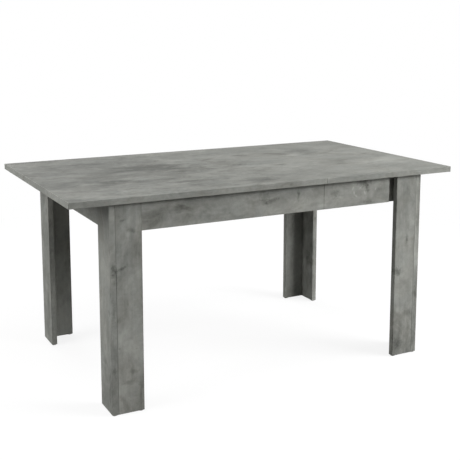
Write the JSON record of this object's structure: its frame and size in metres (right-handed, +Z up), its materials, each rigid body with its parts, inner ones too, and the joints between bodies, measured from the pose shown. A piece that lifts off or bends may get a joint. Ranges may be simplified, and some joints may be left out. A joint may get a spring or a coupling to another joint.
{
  "type": "extendable dining table",
  "caption": "Extendable dining table with a split top and aprons on L-shaped board legs; one part draws out on ball slides to take a leaf stored under the top.",
  "frame": {"origin": "on the floor under the middle of the closed table", "axes": "+X along the table towards the part that draws out, -Y towards the front, +Z up"},
  "size_m": [1.6, 0.9, 0.77],
  "materials": {
    "top_board": "melamine with a cloudy concrete print",
    "leg_board": "melamine with a cloudy concrete print",
    "apron_board": "melamine with a cloudy concrete print",
    "rail_board": "melamine with a concrete print",
    "batten": "planed softwood",
    "beech": "turned beech",
    "slide_steel": "bright zinc plate",
    "latch_steel": "zinc plate",
    "screw_steel": "zinc plate",
    "cam_zinc": "raw die-cast zinc",
    "ball_steel": "polished",
    "cage_plastic": "moulded",
    "glide_plastic": "moulded"
  },
  "bodies": {
    "fixed_half": {"fixed_top": "top_board", "fixed_front_apron": "apron_board", "fixed_back_apron": "apron_board", "fixed_end_apron": "apron_board", "front_left_leg_side": "leg_board", "front_left_leg_face": "leg_board", "back_left_leg_side": "leg_board", "back_left_leg_face": "leg_board", "front_slide_outer": "slide_steel", "back_slide_outer": "slide_steel", "front_leaf_guide": "batten", "back_leaf_guide": "batten", "front_leaf_bearer": "batten", "back_leaf_bearer": "batten", "leaf_stop": "batten", "leaf_store_screws": "screw_steel", "fixed_cam_discs": "cam_zinc", "fixed_cam_bolts": "screw_steel", "fixed_leg_dowels": "beech", "fixed_lap_screws": "screw_steel", "fixed_slide_screws": "screw_steel", "latch_plates": "latch_steel", "latch_plate_screws": "screw_steel", "latch_rivets": "latch_steel", "fixed_floor_glides": "glide_plastic"},
    "moving_half": {"moving_top": "top_board", "moving_front_apron": "apron_board", "moving_back_apron": "apron_board", "moving_end_apron": "apron_board", "front_right_leg_side": "leg_board", "front_right_leg_face": "leg_board", "back_right_leg_side": "leg_board", "back_right_leg_face": "leg_board", "front_inner_rail": "rail_board", "back_inner_rail": "rail_board", "rail_crossbar": "rail_board", "apron_packers": "rail_board", "leg_packers": "rail_board", "front_slide_inner": "slide_steel", "back_slide_inner": "slide_steel", "moving_cam_discs": "cam_zinc", "moving_cam_bolts": "screw_steel", "moving_leg_dowels": "beech", "moving_lap_screws": "screw_steel", "moving_slide_screws": "screw_steel", "packer_screws": "screw_steel", "crossbar_screws": "screw_steel", "alignment_pins": "beech", "latch_strikers": "latch_steel", "striker_screws": "screw_steel", "moving_floor_glides": "glide_plastic"},
    "cages": {"ball_cages": "cage_plastic", "bearing_balls": "ball_steel"},
    "leaf": {"extension_leaf": "top_board", "leaf_pins": "beech"},
    "front_latch": {"front_latch_lever": "latch_steel"},
    "back_latch": {"back_latch_lever": "latch_steel"}
  },
  "joints": [
    {"name": "extension", "type": "slide", "parent": "fixed_half", "child": "moving_half", "axis": [1, 0, 0], "range_m": [0, 0.5036]},
    {"name": "cage_travel", "type": "slide", "parent": "fixed_half", "child": "cages", "axis": [1, 0, 0], "range_m": [0, 0.2518]},
    {"name": "leaf_slide", "type": "slide", "parent": "fixed_half", "child": "leaf", "axis": [1, 0, 0], "range_m": [0, 0.25]},
    {"name": "front_latch_swing", "type": "hinge", "parent": "fixed_half", "child": "front_latch", "pos_m": [0.168, -0.333, 0.7442], "axis": [0, 0, -1], "range_deg": [0, 30]},
    {"name": "back_latch_swing", "type": "hinge", "parent": "fixed_half", "child": "back_latch", "pos_m": [0.168, 0.333, 0.7442], "axis": [0, 0, 1], "range_deg": [0, 30]}
  ],
  "couplings": [
    {"joint": "cage_travel", "follows": "extension", "ratio": 0.5}
  ]
}
